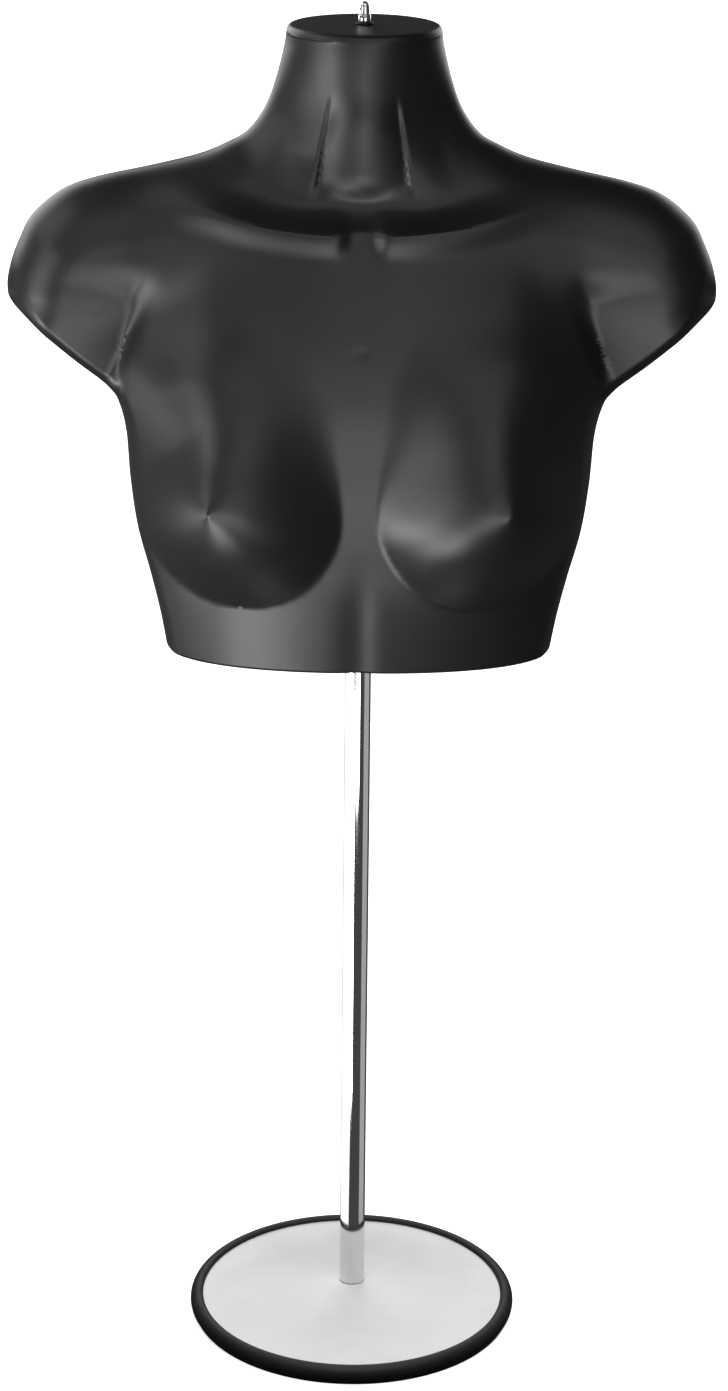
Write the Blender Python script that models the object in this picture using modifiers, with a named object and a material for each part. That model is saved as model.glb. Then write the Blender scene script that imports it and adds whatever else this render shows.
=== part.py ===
"""Dress form mannequin: a moulded upper torso on a height-adjustable chromed pole with a round base.

Metres, +Z up, the pole's axis on x = y = 0, the floor at z = 0, the front of the form towards -Y.
"""

import math

import bmesh
import bpy
import numpy as np
from mathutils import Matrix

MM = 0.001

# Base
PLATE_RADIUS = 0.1015
PLATE_THICKNESS = 0.004
PLATE_EDGE_TOP = 0.009
FOOT_HEIGHT = 0.018
RIM_LIP_RADIUS = 0.09685
RIM_HEIGHT = 0.0118

# Pole
TUBE_RADIUS = 0.008
TUBE_BORE = 0.0072
POLE_TOP = 0.598
UPPER_TUBE_RADIUS = 0.006
UPPER_TUBE_BORE = 0.005
UPPER_TUBE_BOTTOM = 0.350
UPPER_TUBE_TOP = 0.8191
CLAMP_HEIGHT = 0.605
BASE_SCREW_RADIUS = 0.004
STUD_RADIUS = 0.0019
STEM_RADIUS = 0.0025

# Torso
SHELL_WALL = 0.003
NECK_TOP = 0.830
NECK_HOLE = 0.0023
COLUMNS = 34
ROWS = 38

GAP = 0.0003
SIDES = 24

# Heights up the torso, in millimetres: half width of the outline, height there, height on the centre
# line, roundness of the front over the shoulder, depth of the back edge, half width of the opening at the back.
STATIONS = (
    (117.0, 455.0, 455, 37, 17, 95),
    (120.8, 476.0, 476, 37, 17, 99),
    (126.0, 498.0, 498, 37, 17, 104),
    (133.7, 528.0, 528, 37, 17, 112),
    (137.8, 558.0, 558, 37, 17, 116),
    (140.0, 588.0, 590, 37, 17, 118),
    (144.3, 606.0, 611, 37, 17, 122),
    (151.0, 617.0, 624, 37, 17, 128),
    (170.0, 632.5, 638, 37, 17, 146),
    (194.0, 654.0, 653, 37, 17, 168),
    (206.5, 666.5, 661, 37, 17, 180),
    (209.0, 676.0, 667, 37, 17, 184),
    (206.4, 690.0, 675, 37, 17, 180),
    (201.0, 704.0, 684, 37, 17, 172),
    (193.0, 718.5, 693, 37, 18, 160),
    (176.0, 732.5, 704, 37, 20, 140),
    (156.0, 740.0, 714, 37, 22, 118),
    (124.5, 747.0, 729, 37, 25, 86),
    (96.3, 754.0, 744, 38, 29, 56),
    (79.4, 761.0, 756, 40, 33, 34),
    (67.7, 768.0, 768, 43, 36, 14),
    (57.4, 782.0, 785, 52, 41, 0),
    (51.0, 799.0, 802, 51, 44, 0),
    (46.2, 818.0, 818, 46, 45.5, 0),
    (45.2, 825.0, 825, 45, 45.0, 0),
)

# Height, depth of the chest in front of the pole on the centre line, and half width of the rib cage.
CHEST = (
    (440, 55, 113.0),
    (455, 58, 117.4),
    (500, 69, 126.8),
    (528, 73, 134.0),
    (560, 76, 138.3),
    (590, 76, 141.2),
    (620, 75, 151.0),
    (650, 71, 152.0),
    (680, 64, 138.0),
    (705, 57, 124.0),
    (740, 48, 110.0),
    (790, 45, 104.0),
    (850, 44, 102.0),
)


def through(table, count):
    """Values at count places along a smooth curve through a table's rows."""
    table = np.array(table, float)
    along = np.linspace(0, len(table) - 1, count)
    i = np.clip(along.astype(int), 0, len(table) - 2)
    f = (along - i)[:, None]
    p0 = table[np.maximum(i - 1, 0)]
    p1 = table[i]
    p2 = table[i + 1]
    p3 = table[np.minimum(i + 2, len(table) - 1)]
    curve = 2 * p1 + (p2 - p0) * f + (2 * p0 - 5 * p1 + 4 * p2 - p3) * f**2 + (3 * (p1 - p2) + p3 - p0) * f**3
    return curve / 2


CHEST_CURVES = [(np.array(through(CHEST, 200))[:, 0], np.array(through(CHEST, 200))[:, i]) for i in (1, 2)]


def rise(value, low, high):
    """0 below low, 1 above high, smooth between."""
    t = np.clip((value - low) / (high - low), 0, 1)
    return t * t * (3 - 2 * t)


def blend(a, b, width):
    """The larger of two depths, with the corner between them rounded over width."""
    h = np.clip(0.5 + 0.5 * (a - b) / width, 0, 1)
    return b * (1 - h) + a * h + width * h * (1 - h)


def hump(t):
    return np.exp(-t * t)


def arc(t):
    """A quarter round: 1 at t = 0, falling to 0 at t = 1."""
    return np.sqrt(np.clip(1 - np.abs(t) ** 2, 0, 1))


def edge_distances(x, z):
    """How far a place on the front view is from the outline below the shoulder tip, and from that above it."""
    x = np.abs(x)
    outline = through(STATIONS, 300)[:, :2]
    tip = int(np.argmax(outline[:, 0]))
    found = []
    for line in (outline[: tip + 1], outline[tip:]):
        nearest = np.full(x.shape, 1e9)
        for (ax, az), (bx, bz) in zip(line[:-1], line[1:]):
            length = (bx - ax) ** 2 + (bz - az) ** 2
            t = np.clip(((x - ax) * (bx - ax) + (z - az) * (bz - az)) / length, 0, 1)
            nearest = np.minimum(nearest, np.hypot(x - ax - t * (bx - ax), z - az - t * (bz - az)))
        found.append(nearest)
    return found


def front_depth(x, z, edge):
    """How far the moulding stands in front of the pole's plane at x, z, in millimetres."""
    x = np.abs(x)
    middle, width = [np.interp(z, height, value) for height, value in CHEST_CURVES]
    square = rise(z, 585, 650)
    chest = middle * (1 - np.clip(x / width, 0, 1) ** (2.3 + 2.9 * square)) ** (0.435 + 0.38 * square)
    below = z - 606 - 0.85 * (x - 144)
    arm = 37 + 0.10 * (x - 165) - 0.0020 * (x - 172) ** 2 - 0.0012 * (z - 668) ** 2
    level = 34 - 0.0012 * (z - 668) ** 2
    level += (middle - level) * (1 - rise(x, 10, 158))
    side = 14 * rise(x, 85, 120)
    chest += (level - chest) * rise(z, 640 - side, 712 - side)
    depth = blend(chest, arm * rise(below, -10, 12) * rise(x, 40, 105), 2.5)

    # Crease between the chest and the shoulder stub, and the dimple on the breastbone.
    crease = x - 119 - 0.46 * (692 - z)
    crease = np.exp(-np.clip(crease, 0, 200) / 34) * (1 - rise(-crease, 0, 9))
    depth -= 5 * crease * rise(z, 606, 632) * (1 - rise(z, 642, 694))
    depth -= 0.7 * hump(np.hypot(x, z - 653) / 3)

    # Collarbones, with the hollow above them, the notch between them and the neck.
    bone = 719 + 0.00155 * (x - 11) ** 2
    fade = 1 - rise(x, 60, 135)
    ends = rise(x, 6, 14)
    depth += ends * fade * 4.2 * rise(z, bone - 17, bone - 1)
    high = (1 - (1 - np.clip((z - bone) / 17, 0, 1)) ** 2) * fade
    hollow = 41 - 5 * rise(x, 20, 70) - 0.22 * np.clip(z - bone, 0, 40)
    depth = depth * (1 - high) + hollow * high
    neck_width = 46 + np.clip(z - 752, 0, 100) ** 2 / 110 + 0.010 * np.clip(790 - z, 0, 90) ** 2
    neck = (43.5 + 1.7 * rise(z, 785, 822)) * arc(x / neck_width) - 2.5 * rise(805 - z, 0, 55)
    depth = blend(depth, neck * (0.86 + 0.14 * rise(z, 722, 752)), 3 + 7 * rise(x, 10, 40))
    depth -= 3.8 * hump(x / 10) * hump((z - 714) / 15)

    # Throat between its two tendons.
    tendon = x - (18.5 + (797 - z) * 0.145)
    groove = -2.8 * np.exp(np.minimum(tendon, 0) / 8) * (1 - rise(tendon, -1.5, 2.6))
    throat = rise(z, 732, 746) * (1 - rise(z, 778, 800))
    depth += throat * (groove + 1.8 * hump(x / 17))

    # Breasts: a rounded cone with its point off centre, creased below and on its inner side.
    wide = 60 + 16 * rise(z, 560, 660) + 8 * rise(x, 70, 130)
    tall = 63 + 55 * rise(z, 530, 660)
    across = (x - 87) / wide
    up = (z - 567) / tall
    off_x = 17 / wide
    off_z = 7 / tall
    lean = off_x * across + off_z * up
    spare = 1 - off_x**2 - off_z**2
    out = (lean + np.sqrt(lean**2 + spare * (across**2 + up**2))) / spare
    out = np.clip(out, 0, 1)
    soft = np.clip(rise(z, 535, 620) + 0.4 * rise(x, 85, 130), 0, 1)
    mound = 0.70 * (1 - out**2) ** (0.95 + 1.15 * soft) + 0.30 * (1 - out) ** (1.15 + 0.8 * soft)
    depth += 44 * mound + 1.6 * hump(np.hypot(x - 87, z - 567) / 3)
    depth -= 1.5 * hump(x / 9) * (1 - rise(z, 495, 540))
    lower, upper = edge_distances(x, z)
    cut = 8 + 4 * rise(z, 560, 620) + 10 * rise(x, 185, 212)
    return depth * arc(1 - np.clip(lower / cut, 0, 1)) * arc(1 - np.clip(upper / edge, 0, 1))


def material(name, colour, roughness, metallic=0.0):
    made = bpy.data.materials.new(name)
    made.use_nodes = True
    shader = made.node_tree.nodes["Principled BSDF"]
    shader.inputs["Base Color"].default_value = (*colour, 1.0)
    shader.inputs["Roughness"].default_value = roughness
    shader.inputs["Metallic"].default_value = metallic
    made.diffuse_color = (*colour, 1.0)
    return made


def add(name, mesh, surface, smooth=True):
    """Links a mesh as one named piece."""
    bmesh.ops.recalc_face_normals(mesh, faces=mesh.faces)
    data = bpy.data.meshes.new(name)
    mesh.to_mesh(data)
    mesh.free()
    for face in data.polygons:
        face.use_smooth = smooth
    data.materials.append(surface)
    piece = bpy.data.objects.new(name, data)
    form.objects.link(piece)
    return piece


def turned(name, outline, surface, sides=SIDES):
    """A piece turned on a lathe: a section of (radius, height) pairs, closed, or open from axis to axis."""
    mesh = bmesh.new()
    chain = [mesh.verts.new((radius, 0, height)) for radius, height in outline]
    edges = [mesh.edges.new(pair) for pair in zip(chain, chain[1:])]
    if outline[0][0] > 0:
        edges.append(mesh.edges.new((chain[-1], chain[0])))
    bmesh.ops.spin(mesh, geom=chain + edges, cent=(0, 0, 0), axis=(0, 0, 1), angle=math.tau, steps=sides)
    bmesh.ops.remove_doubles(mesh, verts=mesh.verts, dist=1e-6)
    return add(name, mesh, surface)


def sleeve(name, inner, outer, low, high, surface, sides=SIDES):
    """A tube, washer or bush: a plain ring with its outer edges broken."""
    cut = min(0.0004, (outer - inner) / 4, (high - low) / 4)
    outline = (
        (inner, low),
        (outer - cut, low),
        (outer, low + cut),
        (outer, high - cut),
        (outer - cut, high),
        (inner, high),
    )
    return turned(name, outline, surface, sides)


def helper(name, mesh):
    """A hidden shape that a Boolean joins to a piece or cuts from it."""
    bmesh.ops.recalc_face_normals(mesh, faces=mesh.faces)
    data = bpy.data.meshes.new(name)
    mesh.to_mesh(data)
    mesh.free()
    shape = bpy.data.objects.new(name, data)
    shape.hide_render = True
    shape.display_type = "WIRE"
    cutters.objects.link(shape)
    return shape


def boolean(piece, shape, operation):
    change = piece.modifiers.new(shape.name, "BOOLEAN")
    change.object = shape
    change.operation = operation
    change.solver = "EXACT"


def rod_along_y(name, radius, start, end, height, sides=24):
    mesh = bmesh.new()
    place = Matrix.Translation((0, (start + end) / 2, height)) @ Matrix.Rotation(math.pi / 2, 4, "X")
    bmesh.ops.create_cone(
        mesh, cap_ends=True, segments=sides, radius1=radius, radius2=radius, depth=end - start, matrix=place
    )
    return helper(name, mesh)


def torso_shell(surface):
    """The hollow-back moulding: a front skin, a turned-in rim round the open back and a flat neck plate."""
    front = np.sin(np.linspace(-math.pi / 2, math.pi / 2, COLUMNS + 1))
    mesh = bmesh.new()
    grid = []
    for half, side, middle, edge, back, opening in through(STATIONS, ROWS):
        inner = max(opening, 0) / half
        rear = [inner + (1 - inner) * math.cos(t) for t in (0.25, 0.55, 0.9, 1.25, math.pi / 2)]
        across = np.array([-u for u in rear[::-1]] + list(front) + rear)
        x = across * half
        z = middle + (side - middle) * np.abs(across) ** 2
        reach = np.minimum(*edge_distances(x, z))
        depth = front_depth(x, z, edge)
        behind = np.arange(len(x))
        behind = (behind < len(rear)) | (behind >= len(x) - len(rear))
        depth[behind] = -back * arc(1 - np.clip(reach[behind] / back, 0, 1))
        grid.append([mesh.verts.new((px * MM, -py * MM, pz * MM)) for px, py, pz in zip(x, depth, z)])
    for lower, upper in zip(grid, grid[1:]):
        for i in range(len(lower) - 1):
            mesh.faces.new((lower[i], lower[i + 1], upper[i + 1], upper[i]))
    bmesh.ops.remove_doubles(mesh, verts=mesh.verts, dist=1e-5)
    bmesh.ops.dissolve_degenerate(mesh, edges=mesh.edges, dist=1e-5)

    top = max(vert.co.z for vert in mesh.verts)
    loop = [edge for edge in mesh.edges if edge.is_boundary and min(v.co.z for v in edge.verts) > top - 1e-4]
    radius = max(vert.co.x for edge in loop for vert in edge.verts)
    for size, height in ((0.985, -0.0020), (0.955, -0.0004), (0.92, 0), (0.4, 0), (NECK_HOLE / radius, 0)):
        made = bmesh.ops.extrude_edge_only(mesh, edges=loop)["geom"]
        loop = [edge for edge in made if isinstance(edge, bmesh.types.BMEdge) and edge.is_boundary]
        for vert in {vert for edge in loop for vert in edge.verts}:
            angle = math.atan2(vert.co.y, vert.co.x)
            vert.co = (radius * size * math.cos(angle), radius * size * math.sin(angle), NECK_TOP + height)
    piece = add("torso_shell", mesh, surface)
    wall = piece.modifiers.new("Wall", "SOLIDIFY")
    wall.thickness = SHELL_WALL
    wall.offset = -1
    return piece


def base_plate(surface):
    """A pressed steel disc, flat at its edge and raised towards the pole."""
    top = [(PLATE_RADIUS, PLATE_EDGE_TOP)]
    for t in (0, 0.15, 0.3, 0.5, 0.7, 0.85, 1):
        radius = 0.093 + (0.012 - 0.093) * t
        top.append((radius, PLATE_EDGE_TOP + (FOOT_HEIGHT - PLATE_EDGE_TOP) * t * t * (3 - 2 * t)))
    top.append((BASE_SCREW_RADIUS + 0.0006, FOOT_HEIGHT))
    bottom = [(radius, height - PLATE_THICKNESS) for radius, height in reversed(top)]
    return turned("base_plate", top + bottom, surface, 48)


def rubber_rim(surface):
    """The edge bead: a C section whose slot grips the plate, flat underneath."""
    slot_low = PLATE_EDGE_TOP - PLATE_THICKNESS - GAP
    slot_high = PLATE_EDGE_TOP + GAP
    outline = [(RIM_LIP_RADIUS, slot_low), (RIM_LIP_RADIUS, 0.0006), (RIM_LIP_RADIUS + 0.0006, 0), (0.1030, 0)]
    for angle in (-50, -25, 0, 25, 50):
        turn = math.radians(angle)
        outline.append((0.0993 + 0.0057 * math.cos(turn), 0.0060 + 0.0058 * math.sin(turn)))
    outline += [
        (0.1005, RIM_HEIGHT),
        (0.0985, RIM_HEIGHT - 0.0002),
        (RIM_LIP_RADIUS, slot_high + 0.0008),
        (RIM_LIP_RADIUS, slot_high),
        (PLATE_RADIUS + GAP, slot_high),
        (PLATE_RADIUS + GAP, slot_low),
    ]
    return turned("rubber_rim", outline, surface, 48)


def base_screw(surface):
    """Pan-head screw from below, with a hexagon socket."""
    outline = (
        (0, 0.0062),
        (0.0060, 0.0062),
        (0.0071, 0.0072),
        (0.0071, 0.0109),
        (BASE_SCREW_RADIUS, 0.0109),
        (BASE_SCREW_RADIUS, 0.0390),
        (BASE_SCREW_RADIUS - 0.0008, 0.0400),
        (0, 0.0400),
    )
    piece = turned("base_screw", outline, surface)
    socket = bmesh.new()
    place = Matrix.Translation((0, 0, 0.0070))
    bmesh.ops.create_cone(socket, cap_ends=True, segments=6, radius1=0.0028, radius2=0.0028, depth=0.0050, matrix=place)
    boolean(piece, helper("screw_socket", socket), "DIFFERENCE")
    return piece


def spring_washer(surface):
    """A split lock washer."""
    piece = sleeve("spring_washer", 0.0043, 0.0072, 0.0112, 0.0126, surface)
    slit = bmesh.new()
    place = Matrix.Translation((0.006, 0, 0.0119)) @ Matrix.Rotation(math.radians(25), 4, "X")
    bmesh.ops.create_cube(slit, size=1, matrix=place @ Matrix.Diagonal((0.006, 0.0010, 0.006, 1)))
    boolean(piece, helper("washer_slit", slit), "DIFFERENCE")
    return piece


def height_collar(surface):
    """The clamp collar: it sits over the pole tube's end, narrows to the upper tube, and has a threaded boss."""
    outline = (
        (TUBE_RADIUS + 0.0002, 0.5785),
        (0.0115, 0.5785),
        (0.0122, 0.5795),
        (0.0122, 0.6115),
        (0.0115, 0.6125),
        (UPPER_TUBE_RADIUS + 0.0004, 0.6125),
        (UPPER_TUBE_RADIUS + 0.0004, POLE_TOP + 0.0012),
        (TUBE_RADIUS + 0.0002, POLE_TOP + 0.0012),
    )
    piece = turned("height_collar", outline, surface)
    boolean(piece, rod_along_y("collar_boss", 0.0058, 0.0090, 0.0180, CLAMP_HEIGHT), "UNION")
    boolean(piece, rod_along_y("collar_thread", STEM_RADIUS + 0.0001, 0.0030, 0.0220, CLAMP_HEIGHT), "DIFFERENCE")
    return piece


def clamp_screw(metal, plastic):
    """The clamping screw: a threaded stem with a lobed plastic knob moulded on it, turning about Y."""
    stem = turned(
        "thumb_screw_stem",
        (
            (0, 0.0063),
            (STEM_RADIUS - 0.0006, 0.0063),
            (STEM_RADIUS, 0.0069),
            (STEM_RADIUS, 0.0190),
            (0.0040, 0.0190),
            (0.0040, 0.0205),
            (STEM_RADIUS, 0.0205),
            (STEM_RADIUS, 0.0300),
            (0, 0.0300),
        ),
        metal,
    )
    knob_outline = (
        (0, 0.0340),
        (0.0060, 0.0338),
        (0.0095, 0.0328),
        (0.0110, 0.0312),
        (0.0110, 0.0238),
        (0.0095, 0.0224),
        (0.0060, 0.0208),
        (STEM_RADIUS + GAP, 0.0208),
        (STEM_RADIUS + GAP, 0.0303),
        (0, 0.0303),
    )
    knob = turned("thumb_screw_knob", knob_outline, plastic, 48)
    for vert in knob.data.vertices:
        reach = math.hypot(vert.co.x, vert.co.y)
        if reach > 0.008:
            lobe = 1 + 0.09 * math.cos(6 * math.atan2(vert.co.y, vert.co.x))
            vert.co.x *= lobe
            vert.co.y *= lobe
    axis = bpy.data.objects.new("thumb_screw_axis", None)
    axis.empty_display_size = 0.02
    axis.location = (0, 0, CLAMP_HEIGHT)
    axis.rotation_euler = (-math.pi / 2, 0, 0)
    form.objects.link(axis)
    stem.parent = axis
    knob.parent = axis


for thing in list(bpy.data.objects):
    bpy.data.objects.remove(thing, do_unlink=True)

form = bpy.data.collections.new("Dress form mannequin")
cutters = bpy.data.collections.new("Cutters")
bpy.context.scene.collection.children.link(form)
bpy.context.scene.collection.children.link(cutters)
cutters.hide_render = True

plastic = material("black_moulding", (0.022, 0.022, 0.023), 0.42)
chrome = material("chrome", (0.82, 0.82, 0.84), 0.08, 1.0)
plate_paint = material("plate_finish", (0.72, 0.73, 0.74), 0.42)
rubber = material("rubber", (0.025, 0.025, 0.026), 0.6)
zinc = material("zinc", (0.62, 0.62, 0.60), 0.35, 1.0)
dark_steel = material("dark_steel", (0.08, 0.08, 0.085), 0.4, 1.0)
nylon = material("nylon", (0.80, 0.79, 0.75), 0.5)
knob_plastic = material("knob_plastic", (0.03, 0.03, 0.03), 0.5)

# Base
base_plate(plate_paint)
rubber_rim(rubber)
base_screw(zinc)
spring_washer(zinc)
sleeve("flat_washer", 0.0043, 0.0090, 0.0129, 0.0137, zinc)

# Pole
sleeve("pole_tube", TUBE_BORE, TUBE_RADIUS, FOOT_HEIGHT + GAP, POLE_TOP, chrome)
sleeve("foot_plug", BASE_SCREW_RADIUS + 0.0002, TUBE_BORE - 0.0002, FOOT_HEIGHT + 0.0006, 0.045, zinc)
sleeve("collar_bush", UPPER_TUBE_RADIUS + 0.0002, TUBE_BORE - 0.0002, 0.570, POLE_TOP + 0.0008, nylon)
height_collar(chrome)
clamp_screw(zinc, knob_plastic)

# Upper tube
sleeve("upper_tube", UPPER_TUBE_BORE, UPPER_TUBE_RADIUS, UPPER_TUBE_BOTTOM, UPPER_TUBE_TOP, chrome)
turned(
    "guide_bush",
    (
        (0, UPPER_TUBE_BOTTOM - 0.0050),
        (0.0064, UPPER_TUBE_BOTTOM - 0.0050),
        (0.0069, UPPER_TUBE_BOTTOM - 0.0044),
        (0.0069, UPPER_TUBE_BOTTOM - GAP),
        (UPPER_TUBE_BORE - 0.0002, UPPER_TUBE_BOTTOM - GAP),
        (UPPER_TUBE_BORE - 0.0002, UPPER_TUBE_BOTTOM + 0.0120),
        (0, UPPER_TUBE_BOTTOM + 0.0120),
    ),
    nylon,
)
turned(
    "tube_top_plug",
    (
        (STUD_RADIUS + 0.0002, 0.8000),
        (UPPER_TUBE_BORE - 0.0002, 0.8000),
        (UPPER_TUBE_BORE - 0.0002, UPPER_TUBE_TOP + GAP),
        (0.0060, UPPER_TUBE_TOP + GAP),
        (0.0060, 0.8234),
        (STUD_RADIUS + 0.0002, 0.8234),
    ),
    zinc,
)
turned(
    "neck_stud",
    ((0, 0.8030), (STUD_RADIUS - 0.0004, 0.8030), (STUD_RADIUS, 0.8034), (STUD_RADIUS, 0.8384), (0, 0.8384)),
    zinc,
)
sleeve("support_washer", STUD_RADIUS + GAP, 0.0150, 0.8237, 0.8252, zinc)
sleeve("swivel_washer", STUD_RADIUS + GAP, 0.0140, 0.8255, 0.8267, nylon)

# Form
torso_shell(plastic)
sleeve("neck_washer", STUD_RADIUS + GAP, 0.0052, NECK_TOP + GAP, NECK_TOP + 0.0012, dark_steel)
turned(
    "cap_nut",
    (
        (STUD_RADIUS + 0.0002, 0.8315),
        (0.0033, 0.8315),
        (0.0036, 0.8319),
        (0.0036, 0.8352),
        (0.0031, 0.8357),
        (0.0029, 0.8360),
        (0.0027, 0.8400),
        (0.0023, 0.8418),
        (0.0014, 0.8428),
        (0.0005, 0.8431),
        (0.0005, 0.8395),
        (STUD_RADIUS + 0.0002, 0.8388),
    ),
    chrome,
)
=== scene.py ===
import math

import bmesh
import bpy
import numpy as np
from mathutils import Matrix, Vector


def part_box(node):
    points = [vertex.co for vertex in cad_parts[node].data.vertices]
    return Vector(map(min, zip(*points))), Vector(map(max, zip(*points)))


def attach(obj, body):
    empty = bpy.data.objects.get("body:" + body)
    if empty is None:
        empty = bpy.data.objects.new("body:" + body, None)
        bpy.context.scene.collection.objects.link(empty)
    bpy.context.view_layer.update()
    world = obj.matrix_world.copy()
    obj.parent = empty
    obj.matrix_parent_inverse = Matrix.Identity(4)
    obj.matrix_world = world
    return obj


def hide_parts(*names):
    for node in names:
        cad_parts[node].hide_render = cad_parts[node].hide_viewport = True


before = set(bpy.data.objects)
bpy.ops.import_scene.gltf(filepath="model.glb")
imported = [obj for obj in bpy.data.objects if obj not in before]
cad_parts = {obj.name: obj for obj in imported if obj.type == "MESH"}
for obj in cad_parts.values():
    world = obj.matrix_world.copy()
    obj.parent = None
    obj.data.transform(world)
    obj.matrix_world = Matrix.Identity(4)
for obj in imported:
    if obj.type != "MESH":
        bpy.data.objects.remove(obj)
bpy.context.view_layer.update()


# Camera. A long lens at a little over the height of the form, tilted down so that the base shows as a
# full ellipse. The form leans a fraction of a degree in the frame, which is the camera's own roll.
camera = bpy.data.objects.new("camera", bpy.data.cameras.new("camera"))
FILM_HEIGHT = 36.0
FOCAL_LENGTH = 3500 / 1391 * FILM_HEIGHT
LOOK_DOWN = math.radians(19.372)
LOOK_ASIDE = math.radians(-0.108)
ROLL = math.radians(0.62)
camera.data.sensor_fit = "VERTICAL"
camera.data.sensor_height = FILM_HEIGHT
camera.data.lens = FOCAL_LENGTH
camera.data.clip_end = 100
camera.location = (0.0, -2.0262, 1.1334)
view = Matrix.Rotation(LOOK_ASIDE, 4, "Z") @ Matrix.Rotation(math.pi / 2 - LOOK_DOWN, 4, "X")
view = view @ Matrix.Rotation(ROLL, 4, "Z")
camera.rotation_euler = view.to_euler()
bpy.context.scene.collection.objects.link(camera)
bpy.context.scene.camera = camera


# Stage. A wide pale floor inside a wide pale shell, so that every side of the view is light. Both glow
# faintly of themselves, and neither is mirrored in the object or lights it.
class Value:
    """A node's output that takes part in plain arithmetic: each operation adds its Math node."""

    def __init__(self, surface, socket):
        self.surface = surface
        self.socket = socket

    def math(self, operation, other):
        return self.surface.node("Math", {"operation": operation}, **{"0": self, "1": other})

    def __add__(self, other):
        return self.math("ADD", other)

    def __mul__(self, other):
        return self.math("MULTIPLY", other)

    __radd__ = __add__
    __rmul__ = __mul__


class Surface:
    """A material being built: node() adds one node with its settings, then its values and links."""

    def __init__(self, name):
        self.material = bpy.data.materials.new(name)
        self.material.use_nodes = True
        self.tree = self.material.node_tree
        self.shader = self.tree.nodes["Principled BSDF"]
        self.place = Value(self, self.tree.nodes.new("ShaderNodeTexCoord").outputs["Object"])

    def feed(self, place, value):
        """Links a Value to a socket, or sets a plain number or colour on it."""
        if isinstance(value, Value):
            self.tree.links.new(value.socket, place)
        else:
            place.default_value = value

    def node(self, kind, settings=None, output=0, **values):
        made = self.tree.nodes.new("ShaderNode" + kind)
        for key, value in (settings or {}).items():
            setattr(made, key, value)
        for key, value in values.items():
            self.feed(made.inputs[int(key)] if key.isdigit() else made.inputs[key], value)
        return Value(self, made.outputs[output])

    def noise(self, scale, detail=3.0, roughness=0.5, where=None):
        where = self.place if where is None else where
        return self.node("TexNoise", Vector=where, Scale=scale, Detail=detail, Roughness=roughness)

    def span(self, value, low, high, to_low=0.0, to_high=1.0):
        keys = {"0": value, "1": low, "2": high, "3": to_low, "4": to_high}
        return self.node("MapRange", {"clamp": True}, **keys)

    def mix(self, factor, one, other):
        """One colour turning into another; these are the Mix node's colour sockets."""
        return self.node("Mix", {"data_type": "RGBA"}, 2, **{"0": factor, "6": one, "7": other})

    def bump(self, height, distance, strength=1.0):
        return self.node("Bump", Height=height, Distance=distance, Strength=strength)

    def set(self, **values):
        for key, value in values.items():
            self.feed(self.shader.inputs[key.replace("_", " ")], value)
        return self.material


def grey(level, blue=0.0):
    """A neutral colour, a little cooler where blue is above 0."""
    return (level, level, level + blue, 1)


def stage_thing(name, mesh, base, glow):
    """Makes a mesh part of the stage, in a matt paint that glows and that only the camera sees."""
    data = bpy.data.meshes.new(name)
    mesh.to_mesh(data)
    mesh.free()
    paint = Surface(name + "_paint")
    data.materials.append(
        paint.set(
            Base_Color=grey(base),
            Roughness=0.9,
            Emission_Color=grey(1),
            Emission_Strength=glow,
        )
    )
    thing = bpy.data.objects.new(name, data)
    bpy.context.scene.collection.objects.link(thing)
    thing.visible_diffuse = False
    thing.visible_glossy = False
    thing.visible_transmission = False
    return thing


FLOOR_HALF_WIDTH = 30
SURROUND_RADIUS = 24
floor_mesh = bmesh.new()
bmesh.ops.create_grid(floor_mesh, x_segments=2, y_segments=2, size=FLOOR_HALF_WIDTH)
floor = stage_thing("floor", floor_mesh, base=0.86, glow=0.75)
surround_mesh = bmesh.new()
bmesh.ops.create_uvsphere(surround_mesh, u_segments=64, v_segments=32, radius=SURROUND_RADIUS)
surround = stage_thing("pale_surround", surround_mesh, base=0, glow=0.85)
surround.visible_shadow = False


# Lights. Soft boxes stand round the form, most of them low on the viewer's left, and light only the object.
# Two washes light only the floor and the base, so that the floor stays pale without greying the black form.
low_things = bpy.data.collections.new("low_things")
low_things.objects.link(floor)
form_things = bpy.data.collections.new("form_things")


def lamp(name, place, aim, width, height, power):
    light = bpy.data.lights.new(name, "AREA")
    light.shape = "RECTANGLE"
    light.size = width
    light.size_y = height
    light.energy = power
    thing = bpy.data.objects.new(name, light)
    thing.location = place
    thing.rotation_euler = (Vector(aim) - Vector(place)).to_track_quat("-Z", "Y").to_euler()
    bpy.context.scene.collection.objects.link(thing)
    return thing


# Name, degrees round from the front, degrees up, distance from the form, width, height and watts.
form_middle = Vector((0, 0, 0.64))
for name, around, up, away, width, height, power in (
    ("key_low_left", -64, -22, 1.3, 0.6, 0.5, 11.5),
    ("side_low", -98, -22, 1.3, 0.5, 0.5, 1.6),
    ("low_front", 2, -22, 1.3, 0.8, 0.5, 6.0),
    ("counter_glow", -35, -45, 0.85, 0.35, 0.35, 4.2),
    ("left_bank", -58, 5, 1.3, 0.7, 0.5, 3.5),
    ("high_left", -80, 40, 1.3, 0.8, 0.8, 3.2),
    ("overhead", 8, 42, 1.3, 1.5, 0.8, 3.3),
    ("front_fill", 16, 8, 1.3, 0.9, 0.5, 2.0),
    ("rear_left", 150, 12, 1.5, 0.8, 0.8, 5.0),
    ("rear_right", -140, 20, 1.5, 1.2, 1.0, 11.0),
):
    turn = math.radians(around)
    tilt = math.radians(up)
    toward = Vector((math.sin(turn) * math.cos(tilt), -math.cos(turn) * math.cos(tilt), math.sin(tilt)))
    box = lamp(name, form_middle + toward * away, form_middle, width, height, power)
    box.light_linking.receiver_collection = form_things
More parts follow.
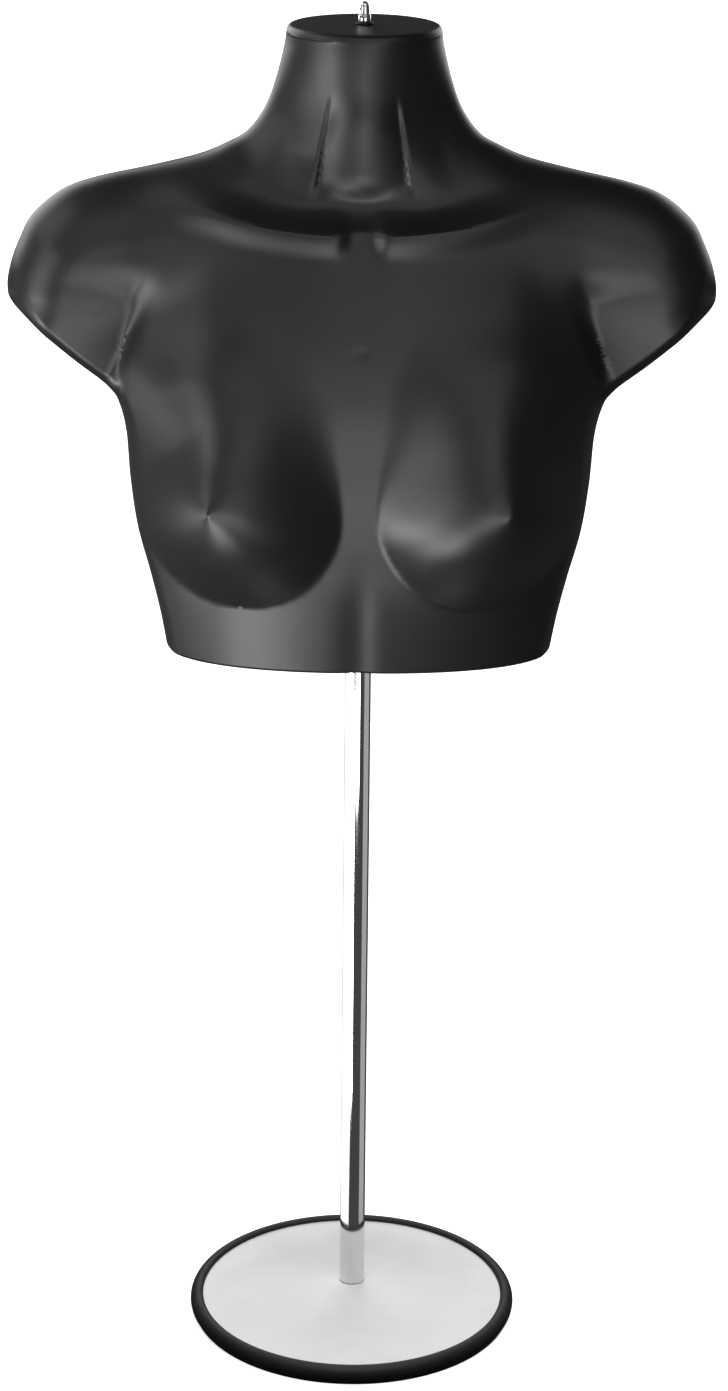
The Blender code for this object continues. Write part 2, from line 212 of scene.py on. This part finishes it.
floor_lamps = (
    lamp("near_wash", (0.1, -0.6, 2.3), (0.0, 0.0, 0.0), 1.8, 1.8, 52),
    lamp("rear_wash", (0, 4.6, 3.2), (0, 4.4, 0), 5.0, 6.0, 240),
)
for wash in floor_lamps:
    wash.light_linking.receiver_collection = low_things
    wash.light_linking.blocker_collection = low_things

# Two cards that only the chromed tube mirrors: a long white one on the left, a short grey one on the right.
pole_things = bpy.data.collections.new("pole_things")
for name, place, aim, width, height, power in (
    ("white_card", (-0.8, -0.05, -0.12), (0, -0.05, -0.12), 2.6, 1.0, 11.0),
    ("grey_card", (0.8, 0.0, -0.10), (0, 0.0, -0.10), 0.9, 0.9, 0.9),
):
    lamp(name, place, aim, width, height, power).light_linking.receiver_collection = pole_things

AMBIENT = 0.06
world = bpy.data.worlds.new("ambient")
bpy.context.scene.world = world
world.use_nodes = True
world.node_tree.nodes["Background"].inputs["Color"].default_value = grey(1)
world.node_tree.nodes["Background"].inputs["Strength"].default_value = AMBIENT
bpy.context.scene.view_settings.view_transform = "Standard"


# Base plate. A pressed steel disc, raised to a low dome where the pole stands on it, in a pale grey satin
# finish with a faint texture. Its edge sits in the rubber bead.
def piece(name, mesh, finish, body, *stands_for):
    """Makes a mesh a smooth-shaded object that rides on a body and stands for CAD nodes."""
    bmesh.ops.recalc_face_normals(mesh, faces=mesh.faces)
    data = bpy.data.meshes.new(name)
    mesh.to_mesh(data)
    mesh.free()
    data.shade_smooth()
    data.set_sharp_from_angle(angle=math.radians(38))
    data.materials.append(finish)
    thing = bpy.data.objects.new(name, data)
    bpy.context.scene.collection.objects.link(thing)
    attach(thing, body)
    form_things.objects.link(thing)
    if stands_for:
        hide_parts(*stands_for)
    return thing


def spun(section, steps=128):
    """A section of (radius, height) pairs turned about the pole's axis."""
    mesh = bmesh.new()
    chain = [mesh.verts.new((radius, 0, height)) for radius, height in section]
    edges = [mesh.edges.new(pair) for pair in zip(chain, chain[1:])]
    if section[0][0] > 0:
        edges.append(mesh.edges.new((chain[-1], chain[0])))
    bmesh.ops.spin(
        mesh, geom=chain + edges, cent=(0, 0, 0), axis=(0, 0, 1), angle=math.tau, steps=steps, use_merge=True
    )
    bmesh.ops.remove_doubles(mesh, verts=mesh.verts, dist=1e-6)
    return mesh


plate_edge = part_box("base_plate")[1].x
plate_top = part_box("base_plate")[1].z
plate_edge_top = 0.009
plate_wall = 0.004
plate_round = 0.0006
flat_ends, dome_width, screw_hole = 0.093, 0.081, 0.0046
top = [(plate_edge - plate_round, plate_edge_top)]
for t in np.linspace(0, 1, 40):
    height = plate_edge_top + (plate_top - plate_edge_top) * t * t * (3 - 2 * t)
    top.append((flat_ends - dome_width * t, height))
top += [(screw_hole, plate_top)]
plate_section = top + [(radius, height - plate_wall) for radius, height in reversed(top)]
plate_section += [(plate_edge, plate_edge_top - plate_wall + plate_round)]
plate_section += [(plate_edge, plate_edge_top - plate_round)]

satin = Surface("plate_satin")
mottle = satin.noise(38, 4)
grain = satin.noise(2600, 2)
dust = satin.span(satin.noise(420, 5, 0.7), 0.60, 0.72)
tone = satin.mix(satin.span(mottle, 0.35, 0.65), (0.53, 0.533, 0.537, 1), (0.57, 0.573, 0.577, 1))
satin.set(
    Base_Color=satin.mix(dust * 0.35, tone, grey(0.42)),
    Roughness=0.36 + 0.12 * mottle + 0.1 * dust,
    Normal=satin.bump(grain, 0.00004),
)
plate = piece("base_plate_finished", spun(plate_section, 192), satin.material, "base", "base_plate")
low_things.objects.link(plate)
form_things.objects.unlink(plate)


# Rubber bead. An extruded black rubber edging pushed over the plate's edge, its slot gripping the plate, its
# flat underside on the floor. It keeps the plate's edge off the counter and stops the form sliding.
bead_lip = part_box("rubber_rim")[1].x - 0.00815
slot_end, slot_low, slot_high = 0.1018, 0.0047, 0.0093
bead_middle, bead_reach = (0.0993, 0.0060), (0.0057, 0.0058)
bead_section = [(bead_lip, slot_low), (bead_lip, 0.0007), (bead_lip + 0.0007, 0.0), (0.1026, 0.0)]
for angle in np.linspace(-58, 64, 18):
    turn = math.radians(angle)
    out = bead_middle[0] + bead_reach[0] * math.cos(turn)
    bead_section.append((out, bead_middle[1] + bead_reach[1] * math.sin(turn)))
bead_section += [(0.1005, 0.0118), (0.0993, 0.0118), (0.0981, 0.0114), (0.0972, 0.0106)]
bead_section += [(bead_lip, 0.0100), (bead_lip, slot_high), (slot_end, slot_high), (slot_end, slot_low)]

rubber = Surface("bead_rubber")
bloom = rubber.noise(60, 5, 0.6)
specks = rubber.span(rubber.noise(1500, 3), 0.62, 0.75)
black = rubber.mix(bloom, grey(0.009), grey(0.017))
rubber.set(
    Base_Color=rubber.mix(specks * 0.5, black, grey(0.06)),
    Roughness=0.42 + 0.25 * bloom,
    Specular_IOR_Level=0.2,
    Normal=rubber.bump(rubber.noise(900, 4) * 0.6 + rubber.noise(140, 3) * 0.8, 0.0003),
)
bead = piece("rubber_bead", spun(bead_section, 192), rubber.material, "base", "rubber_rim")
low_things.objects.link(bead)
form_things.objects.unlink(bead)


# Pole. A drawn and chromed steel tube, bright and round, with faint lengthwise draw marks and a broken
# edge at each end. The foot plug inside its lower end takes the screw that holds it to the plate.
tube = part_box("pole_tube")
tube_radius = tube[1].x
tube_wall = 0.0008
bore = tube_radius - tube_wall


def ring(inner, outer, low, high, cut=0.0003):
    return [
        (inner + cut, low),
        (outer - cut, low),
        (outer, low + cut),
        (outer, high - cut),
        (outer - cut, high),
        (inner + cut, high),
        (inner, high - cut),
        (inner, low + cut),
    ]


chrome = Surface("chrome_plate")
stretch = chrome.node("Mapping", Vector=chrome.place, Scale=(1, 1, 0.02))
draw = chrome.noise(900, 3, where=stretch)
haze = chrome.noise(25, 4)
chrome.set(
    Base_Color=chrome.mix(haze, grey(0.78, 0.01), grey(0.86, 0.01)),
    Metallic=1.0,
    Roughness=0.05 + 0.06 * haze * draw,
    Normal=chrome.bump(draw, 0.00001, 0.5),
)
pole_mesh = spun(ring(bore, tube_radius, tube[0].z, tube[1].z))
pole = piece("pole_tube_chromed", pole_mesh, chrome.material, "base", "pole_tube")
pole_things.objects.link(pole)
low_things.objects.link(pole)

zinc = Surface("zinc_plate")
spangle = zinc.noise(700, 4)
zinc.set(
    Base_Color=zinc.mix(spangle, (0.46, 0.46, 0.45, 1), (0.66, 0.66, 0.64, 1)),
    Metallic=1.0,
    Roughness=0.28 + 0.2 * spangle,
    Normal=zinc.bump(spangle, 0.00005),
)
for name in ("base_screw", "spring_washer"):
    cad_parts[name].data.materials.clear()
    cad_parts[name].data.materials.append(zinc.material)
for name, inside in (("foot_plug", 0.0042), ("flat_washer", 0.0043)):
    low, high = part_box(name)
    made = piece(name + "_turned", spun(ring(inside, high.x, low.z, high.z), 64), zinc.material, "base", name)


# Height collar. A turned and chromed clamp collar on the pole's upper end, inside the form, with a threaded
# boss at the back for the clamping screw and a nylon sleeve below it that guides the upper tube.
pole_top = tube[1].z
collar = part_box("height_collar")
collar_edge = -collar[0].x
sleeve_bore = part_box("upper_tube")[1].x + 0.0004
clamp_height = 0.605
collar_section = [
    (tube_radius + 0.0002, collar[0].z),
    (collar_edge - 0.0007, collar[0].z),
    (collar_edge, collar[0].z + 0.0007),
    (collar_edge, collar[0].z + 0.0030),
    (collar_edge - 0.0005, collar[0].z + 0.0034),
    (collar_edge - 0.0005, collar[0].z + 0.0040),
    (collar_edge, collar[0].z + 0.0044),
    (collar_edge, collar[1].z - 0.0009),
    (collar_edge - 0.0003, collar[1].z - 0.0003),
    (collar_edge - 0.0009, collar[1].z),
    (sleeve_bore + 0.0004, collar[1].z),
    (sleeve_bore, collar[1].z - 0.0004),
    (sleeve_bore, pole_top + 0.0012),
    (tube_radius + 0.0002, pole_top + 0.0012),
]


def laid_back(mesh):
    """Turns a mesh made about the pole's axis onto the clamping screw's, which runs back from the pole."""
    quarter = Matrix.Rotation(-math.pi / 2, 3, "X")
    bmesh.ops.rotate(mesh, verts=mesh.verts, cent=(0, 0, 0), matrix=quarter)
    bmesh.ops.translate(mesh, verts=mesh.verts, vec=(0, 0, clamp_height))
    return mesh


collar_mesh = spun(collar_section, 96)
piece("height_collar_chromed", collar_mesh, chrome.material, "base", "height_collar")
boss_section = [(0.0027, 0.0100), (0.0058, 0.0100), (0.0058, 0.0172), (0.0055, 0.0178), (0.0050, 0.0180)]
boss_section += [(0.0032, 0.0180), (0.0027, 0.0176)]
piece("collar_boss_chromed", laid_back(spun(boss_section, 64)), chrome.material, "base")

nylon = Surface("natural_nylon")
cloud = nylon.noise(90, 4)
nylon.set(
    Base_Color=nylon.mix(cloud, (0.70, 0.68, 0.62, 1), (0.80, 0.79, 0.74, 1)),
    Roughness=0.45 + 0.15 * cloud,
    Normal=nylon.bump(nylon.noise(1800, 2), 0.00003),
)
for name, inside, body in (
    ("collar_bush", sleeve_bore - 0.0002, "base"),
    ("swivel_washer", 0.0022, "form"),
):
    low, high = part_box(name)
    made = piece(name + "_moulded", spun(ring(inside, high.x, low.z, high.z), 64), nylon.material, body, name)
# The guide bush has a head that slides in the pole, and a neck that plugs the upper tube's lower end.
low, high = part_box("guide_bush")
neck = 0.0048
guide_section = [(0, low.z), (high.x - 0.0008, low.z), (high.x - 0.0002, low.z + 0.0003)]
guide_section += [(high.x, low.z + 0.0008), (high.x, low.z + 0.0045), (high.x - 0.0002, low.z + 0.0047)]
guide_section += [(neck, low.z + 0.0047), (neck, high.z - 0.0006), (neck - 0.0006, high.z), (0, high.z)]
guide_mesh = spun(guide_section, 64)
piece("guide_bush_moulded", guide_mesh, nylon.material, "upper_pole", "guide_bush")


# Clamping screw. A zinc-plated steel stem with a rolled thread and a shoulder, and a fluted knob moulded on
# its end in black plastic. Turned in, it bites on the upper tube and holds the height.
stem_radius = 0.0025
stem_pitch = 0.0006
stem_start, stem_end = 0.0063, 0.0300
shoulder = ((stem_radius, 0.0190), (0.0037, 0.0190), (0.0040, 0.0193), (0.0040, 0.0202), (0.0037, 0.0205))
stem_section = [(0, stem_start), (stem_radius - 0.0008, stem_start), (stem_radius - 0.0004, 0.0068)]
for place in np.arange(0.0070, 0.0184, stem_pitch):
    stem_section += [(stem_radius, place), (stem_radius - stem_pitch / 2, place + stem_pitch / 2)]
stem_section += [*shoulder, (stem_radius, shoulder[-1][1]), (stem_radius, stem_end), (0, stem_end)]
stem_mesh = laid_back(spun(stem_section, 48))
stem = piece("clamp_stem_threaded", stem_mesh, zinc.material, "thumb_screw", "thumb_screw_stem")

knob = Surface("knob_moulding")
knob_noise = knob.noise(300, 4)
knob.set(
    Base_Color=knob.mix(knob_noise, grey(0.018, 0.001), grey(0.04)),
    Roughness=0.4 + 0.2 * knob_noise,
    Normal=knob.bump(knob.noise(2500, 2), 0.00005),
)
rim_middle, rim_round = 0.0084, 0.0026
knob_bore = stem_radius + 0.0003
knob_section = [(0, 0.0335), (0.0042, 0.0335), (0.0046, 0.0337), (0.0050, 0.0340), (0.0066, 0.0338)]
for first, last, along in ((70, 0, 0.0308), (0, -80, 0.0242)):
    for angle in np.linspace(first, last, 8):
        turn = math.radians(angle)
        out = rim_middle + rim_round * math.cos(turn)
        knob_section.append((out, along + rim_round * math.sin(turn)))
knob_section += [(0.0062, 0.0208), (0.0032, 0.0208), (knob_bore, 0.0211), (knob_bore, 0.0303)]
knob_section += [(0, 0.0303)]
knob_mesh = spun(knob_section, 144)
FLUTES, FLUTE_DEPTH = 6, 0.09
flute_start, flute_full = 0.0060, 0.0100
for vert in knob_mesh.verts:
    reach = math.hypot(vert.co.x, vert.co.y)
    share = min(max((reach - flute_start) / (flute_full - flute_start), 0), 1)
    lobe = 1 + FLUTE_DEPTH * share * math.cos(FLUTES * math.atan2(vert.co.y, vert.co.x))
    vert.co.x *= lobe
    vert.co.y *= lobe
knob_piece = piece(
    "clamp_knob_moulded", laid_back(knob_mesh), knob.material, "thumb_screw", "thumb_screw_knob"
)


# Upper tube. A thinner chromed tube that slides in the pole and carries the form on a threaded plug, a large
# washer and a threaded stud through the neck plate.
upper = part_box("upper_tube")
upper_bore = 0.005
upper_mesh = spun(ring(upper_bore, upper[1].x, upper[0].z, upper[1].z), 96)
piece("upper_tube_chromed", upper_mesh, chrome.material, "upper_pole", "upper_tube")
stud_radius = 0.0019
stud_pitch = 0.0005
low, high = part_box("tube_top_plug")
plug_bore, plug_radius = stud_radius + 0.0002, 0.0048
flange = upper[1].z + 0.0003
plug_section = [(plug_bore, low.z), (plug_radius - 0.0004, low.z), (plug_radius, low.z + 0.0005)]
plug_section += [(plug_radius, flange), (high.x - 0.0003, flange), (high.x, flange + 0.0003)]
plug_section += [(high.x, high.z - 0.0004), (high.x - 0.0004, high.z), (plug_bore, high.z)]
plug_mesh = spun(plug_section, 64)
piece("tube_top_plug_turned", plug_mesh, zinc.material, "upper_pole", "tube_top_plug")
low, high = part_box("support_washer")
washer_mesh = spun(ring(stud_radius + 0.0003, high.x, low.z, high.z), 96)
support = piece("support_washer_stamped", washer_mesh, zinc.material, "upper_pole", "support_washer")
low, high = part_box("neck_stud")
stud_section = [(0, low.z), (stud_radius - 0.0005, low.z), (stud_radius - 0.0002, low.z + 0.0004)]
for place in np.arange(low.z + 0.0008, high.z - 0.0010, stud_pitch):
    stud_section += [(stud_radius, place), (stud_radius - stud_pitch / 2, place + stud_pitch / 2)]
stud_section += [(stud_radius - 0.0005, high.z - 0.0002), (0, high.z)]
piece("neck_stud_threaded", spun(stud_section, 48), zinc.material, "upper_pole", "neck_stud")


# Torso shell. One moulding in black plastic, open at the back with a turned-in rim: neck and neck plate,
# shoulder stubs, breasts and the cut just below them. Every wall is 3 mm.
MM = 0.001
NECK_TOP = 0.830
NECK_HOLE = 0.0023
SHELL_WALL = 0.003

# Marks on the front, in millimetres: the middle of the shoulder stubs, the breastbone's dimple, the notch
# between the collarbones, and the point and depth of a breast.
STUB_MIDDLE_Z = 668
DIMPLE_Z = 653
NOTCH_Z = 714
BREAST_X = 87
BREAST_Z = 567
BREAST_DEPTH = 44

# Heights up the torso, in millimetres: half width of the outline, height there, height on the centre
# line, roundness of the front over the shoulder, depth of the back edge, half width of the opening at the
# back.
STATIONS = (
    (117.0, 455.0, 455, 37, 17, 95),
    (120.8, 476.0, 476, 37, 17, 99),
    (126.0, 498.0, 498, 37, 17, 104),
    (133.7, 528.0, 528, 37, 17, 112),
    (137.8, 558.0, 558, 37, 17, 116),
    (140.0, 588.0, 590, 37, 17, 118),
    (144.3, 606.0, 611, 37, 17, 122),
    (151.0, 617.0, 624, 37, 17, 128),
    (170.0, 632.5, 638, 37, 17, 146),
    (194.0, 654.0, 653, 37, 17, 168),
    (206.5, 666.5, 661, 37, 17, 180),
    (209.0, 676.0, 667, 37, 17, 184),
    (206.4, 690.0, 675, 37, 17, 180),
    (201.0, 704.0, 684, 37, 17, 172),
    (193.0, 718.5, 693, 37, 18, 160),
    (176.0, 732.5, 704, 37, 20, 140),
    (156.0, 740.0, 714, 37, 22, 118),
    (124.5, 747.0, 729, 37, 25, 86),
    (96.3, 754.0, 744, 38, 29, 56),
    (79.4, 761.0, 756, 40, 33, 34),
    (67.7, 768.0, 768, 43, 36, 14),
    (57.4, 782.0, 785, 52, 41, 0),
    (51.0, 799.0, 802, 51, 44, 0),
    (46.2, 818.0, 818, 46, 45.5, 0),
    (45.2, 825.0, 825, 45, 45.0, 0),
)

# Height, depth of the chest in front of the pole on the centre line, and half width of the rib cage.
CHEST = (
    (440, 55, 113.0),
    (455, 58, 117.4),
    (500, 69, 126.8),
    (528, 73, 134.0),
    (560, 76, 138.3),
    (590, 76, 141.2),
    (620, 75, 151.0),
    (650, 71, 150.5),
    (680, 64, 131.0),
    (705, 57, 120.0),
    (740, 48, 110.0),
    (790, 45, 104.0),
    (850, 44, 102.0),
)


def through(table, count):
    """Values at count places along a smooth curve through a table's rows."""
    table = np.array(table, float)
    along = np.linspace(0, len(table) - 1, count)
    i = np.clip(along.astype(int), 0, len(table) - 2)
    f = (along - i)[:, None]
    p0 = table[np.maximum(i - 1, 0)]
    p1 = table[i]
    p2 = table[i + 1]
    p3 = table[np.minimum(i + 2, len(table) - 1)]
    curve = 2 * p1 + (p2 - p0) * f + (2 * p0 - 5 * p1 + 4 * p2 - p3) * f**2 + (3 * (p1 - p2) + p3 - p0) * f**3
    return curve / 2


chest_rows = through(CHEST, 200)
CHEST_CURVES = [(chest_rows[:, 0], chest_rows[:, column]) for column in (1, 2)]


def rise(value, low, high):
    """0 below low, 1 above high, smooth between."""
    t = np.clip((value - low) / (high - low), 0, 1)
    return t * t * (3 - 2 * t)


def blend(a, b, width):
    """The larger of two depths, with the corner between them rounded over width."""
    h = np.clip(0.5 + 0.5 * (a - b) / width, 0, 1)
    return b * (1 - h) + a * h + width * h * (1 - h)


def hump(t):
    return np.exp(-t * t)


def arc(t):
    """A quarter round: 1 at t = 0, falling to 0 at t = 1."""
    return np.sqrt(np.clip(1 - t**2, 0, 1))


def edge_distances(x, z):
    """How far a place seen from the front is from the outline below the shoulder tip, and above it."""
    x = np.abs(x)
    outline = through(STATIONS, 300)[:, :2]
    tip = int(np.argmax(outline[:, 0]))
    found = []
    for line in (outline[: tip + 1], outline[tip:]):
        nearest = np.full(x.shape, 1e9)
        for (ax, az), (bx, bz) in zip(line[:-1], line[1:]):
            length = (bx - ax) ** 2 + (bz - az) ** 2
            t = np.clip(((x - ax) * (bx - ax) + (z - az) * (bz - az)) / length, 0, 1)
            nearest = np.minimum(nearest, np.hypot(x - ax - t * (bx - ax), z - az - t * (bz - az)))
        found.append(nearest)
    return found


def front_depth(x, z, edge):
    """How far the moulding stands in front of the pole's plane at x, z, in millimetres."""
    x = np.abs(x)
    middle, width = [np.interp(z, height, value) for height, value in CHEST_CURVES]
    square = rise(z, 585, 650)
    chest = middle * (1 - np.clip(x / width, 0, 1) ** (2.3 + 2.9 * square)) ** (0.435 + 0.38 * square)
    below = z - 606 - 0.85 * (x - 144)
    roundness = 0.0012 * (z - STUB_MIDDLE_Z) ** 2
    arm = 37 + 0.10 * (x - 165) - 0.0020 * (x - 172) ** 2 - roundness
    level = 34 - roundness
    level += (middle - level) * (1 - rise(x, 10, 158))
    side = 14 * rise(x, 85, 120)
    chest += (level - chest) * rise(z, 640 - side, 712 - side)
    depth = blend(chest, arm * rise(below, -10, 12) * rise(x, 40, 105), 2.5 + 6 * rise(z, 645, 695))

    # Crease between the chest and the shoulder stub, and the dimple on the breastbone.
    crease = x - 119 - 0.46 * (692 - z)
    crease = np.exp(-np.clip(crease, 0, 200) / 34) * (1 - rise(-crease, 0, 9))
    depth -= 4.5 * crease * rise(z, 606, 632) * (1 - rise(z, 636, 678))
    depth -= 0.7 * hump(np.hypot(x, z - DIMPLE_Z) / 3)

    # Collarbones, with the hollow above them, the notch between them and the neck.
    bone = 719 + 0.00155 * (x - 11) ** 2
    fade = 1 - rise(x, 60, 135)
    ends = rise(x, 5, 15)
    depth += ends * fade * 4.2 * rise(z, bone - 17, bone - 1)
    high = (1 - (1 - np.clip((z - bone) / 17, 0, 1)) ** 2) * fade
    hollow = 41 - 5 * rise(x, 20, 70) - 0.22 * np.clip(z - bone, 0, 40)
    depth = depth * (1 - high) + hollow * high
    neck_width = 46 + np.clip(z - 752, 0, 100) ** 2 / 110 + 0.010 * np.clip(790 - z, 0, 90) ** 2
    neck = (43.5 + 1.7 * rise(z, 785, 822)) * arc(x / neck_width) - 2.5 * rise(805 - z, 0, 55)
    depth = blend(depth, neck * (0.86 + 0.14 * rise(z, 722, 752)), 3 + 7 * rise(x, 10, 40))
    depth -= 2.6 * hump(x / 12) * hump((z - NOTCH_Z) / 15)

    # Throat between its two tendons.
    tendon = x - (18.5 + (797 - z) * 0.145)
    groove = -2.8 * np.exp(np.minimum(tendon, 0) / 8) * (1 - rise(tendon, -1.5, 2.6))
    throat = rise(z, 732, 746) * (1 - rise(z, 778, 800))
    depth += throat * (groove + 1.8 * hump(x / 17))

    # Breasts: a rounded cone with its point off centre, creased below and on its inner side.
    wide = 60 + 16 * rise(z, 560, 660) + 8 * rise(x, 70, 130)
    tall = 63 + 55 * rise(z, 530, 660)
    across = (x - BREAST_X) / wide
    up = (z - BREAST_Z) / tall
    off_x = 17 / wide
    off_z = 7 / tall
    lean = off_x * across + off_z * up
    spare = 1 - off_x**2 - off_z**2
    out = (lean + np.sqrt(lean**2 + spare * (across**2 + up**2))) / spare
    out = np.clip(out, 0, 1)
    soft = np.clip(rise(z, 535, 620) + 0.4 * rise(x, 85, 130), 0, 1)
    mound = 0.70 * (1 - out**2) ** (0.95 + 1.15 * soft) + 0.30 * (1 - out) ** (1.15 + 0.8 * soft)
    depth += BREAST_DEPTH * mound + 1.6 * hump(np.hypot(x - BREAST_X, z - BREAST_Z) / 3)
    depth -= 1.5 * hump(x / 9) * (1 - rise(z, 495, 540))
    lower, upper = edge_distances(x, z)
    cut = 8 + 4 * rise(z, 560, 620) + 10 * rise(x, 185, 212)
    return depth * arc(1 - np.clip(lower / cut, 0, 1)) * arc(1 - np.clip(upper / edge, 0, 1))


def torso_grid(columns, rows):
    """The moulding's outer skin: a grid whose columns run round from one back rim to the other."""
    mesh = bmesh.new()
    bmesh.ops.create_grid(mesh, x_segments=columns, y_segments=rows, size=1)
    table = through(STATIONS, 2000)
    co = np.array([vert.co for vert in mesh.verts])
    level = (co[:, 1] + 1) / 2 * (len(table) - 1)
    half, side, middle, edge, back, opening = [
        np.interp(level, np.arange(len(table)), column) for column in table.T
    ]
    rim_share = 0.34  # of the columns on each half of the front, those that turn round the back rim
    round_way = co[:, 0] * (1 + rim_share)
    front = np.abs(round_way) <= 1
    across = np.sin(np.clip(round_way, -1, 1) * math.pi / 2)
    past = np.clip((np.abs(round_way) - 1) / rim_share, 0, 1)
    inner = np.clip(opening, 0, None) / half
    turned = inner + (1 - inner) * np.cos(past * math.pi / 2)
    across = np.where(front, across, np.sign(round_way) * turned)
    x = across * half
    z = middle + (side - middle) * across**2
    reach = np.minimum(*edge_distances(x, z))
    ahead = front_depth(x, z, edge)
    behind = -back * arc(1 - np.clip(reach / back, 0, 1))
    depth = np.where(front, ahead, behind)
    for vert, px, py, pz in zip(mesh.verts, x, depth, z):
        vert.co = (px * MM, -py * MM, pz * MM)
    bmesh.ops.remove_doubles(mesh, verts=mesh.verts, dist=2e-5)
    bmesh.ops.dissolve_degenerate(mesh, edges=mesh.edges, dist=1e-5)
    return mesh


shell = torso_grid(236, 196)

# The neck plate closes the top: the neck's rim is drawn inwards in rings, as shares of its radius and metres
# below the plate, down to the hole for the stud.
neck_rim = max(vert.co.z for vert in shell.verts) - 1e-4
loop = [edge for edge in shell.edges if edge.is_boundary and min(v.co.z for v in edge.verts) > neck_rim]
radius = max(vert.co.x for edge in loop for vert in edge.verts)
for size, height in (
    (0.998, -0.0040),
    (0.992, -0.0026),
    (0.980, -0.0014),
    (0.963, -0.0005),
    (0.945, -0.0001),
    (0.92, 0),
    (0.7, 0),
    (0.4, 0),
    (0.15, 0),
    (NECK_HOLE / radius, 0),
):
    made = bmesh.ops.extrude_edge_only(shell, edges=loop)["geom"]
    loop = [edge for edge in made if isinstance(edge, bmesh.types.BMEdge) and edge.is_boundary]
    for vert in {vert for edge in loop for vert in edge.verts}:
        angle = math.atan2(vert.co.y, vert.co.x)
        out = radius * size
        vert.co = (out * math.cos(angle), out * math.sin(angle), NECK_TOP + height)

moulding = Surface("black_satin_moulding")
swirl = moulding.noise(14, 4)
tooth = moulding.noise(1400, 3)
scuff = moulding.span(moulding.noise(70, 6, 0.7), 0.58, 0.70)
moulding.set(
    Base_Color=moulding.mix(swirl, grey(0.006, 0.0005), grey(0.009, 0.0005)),
    Roughness=0.39 + 0.05 * swirl + 0.04 * scuff,
    Specular_IOR_Level=0.5,
    Normal=moulding.bump(tooth, 0.00003),
)
torso = piece("torso_moulding", shell, moulding.material, "form", "torso_shell")
wall = torso.modifiers.new("Wall", "SOLIDIFY")
wall.thickness = SHELL_WALL
wall.offset = -1


# Neck fastening. The stud comes up through the neck plate into a chromed domed nut with a wide foot, on a
# small washer in near-black steel: its darkness is painted shade, standing for the shadowed gap under the
# nut.
washer_shade_steel = Surface("washer_painted_shade_steel")
washer_shade_noise = washer_shade_steel.noise(500, 3)
washer_shade_steel.set(
    # Painted shade: the washer's near-black colour stands for the shadow in the gap under the nut.
    Base_Color=washer_shade_steel.mix(washer_shade_noise, grey(0.03), grey(0.07)),
    Metallic=0.8,
    Roughness=0.35 + 0.2 * washer_shade_noise,
)
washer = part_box("neck_washer")
washer_section = ring(0.0022, washer[1].x, washer[0].z, washer[1].z, 0.0002)
washer_mesh = spun(washer_section, 64)
neck_washer = piece("neck_washer_painted_shade", washer_mesh, washer_shade_steel.material, "form", "neck_washer")
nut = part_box("cap_nut")
nut_foot = nut[0].z
nut_bore, foot_radius = 0.0021, 0.0036
dome_radius, dome_start, dome_height = 0.0028, nut_foot + 0.0075, 0.0041
nut_section = [(nut_bore, nut_foot), (foot_radius - 0.0003, nut_foot), (foot_radius, nut_foot + 0.0003)]
nut_section += [(foot_radius, nut_foot + 0.0037), (foot_radius - 0.0002, nut_foot + 0.0041)]
nut_section += [(0.0030, nut_foot + 0.0043), (0.0029, nut_foot + 0.0046)]
for turn in np.linspace(0, math.pi / 2, 14):
    nut_section.append((dome_radius * math.cos(turn) ** 0.6, dome_start + dome_height * math.sin(turn)))
nut_section[-1] = (0.0004, nut[1].z)
nut_section += [(0.0004, 0.8395), (nut_bore, 0.8388)]
piece("cap_nut_chromed", spun(nut_section, 64), chrome.material, "form", "cap_nut")
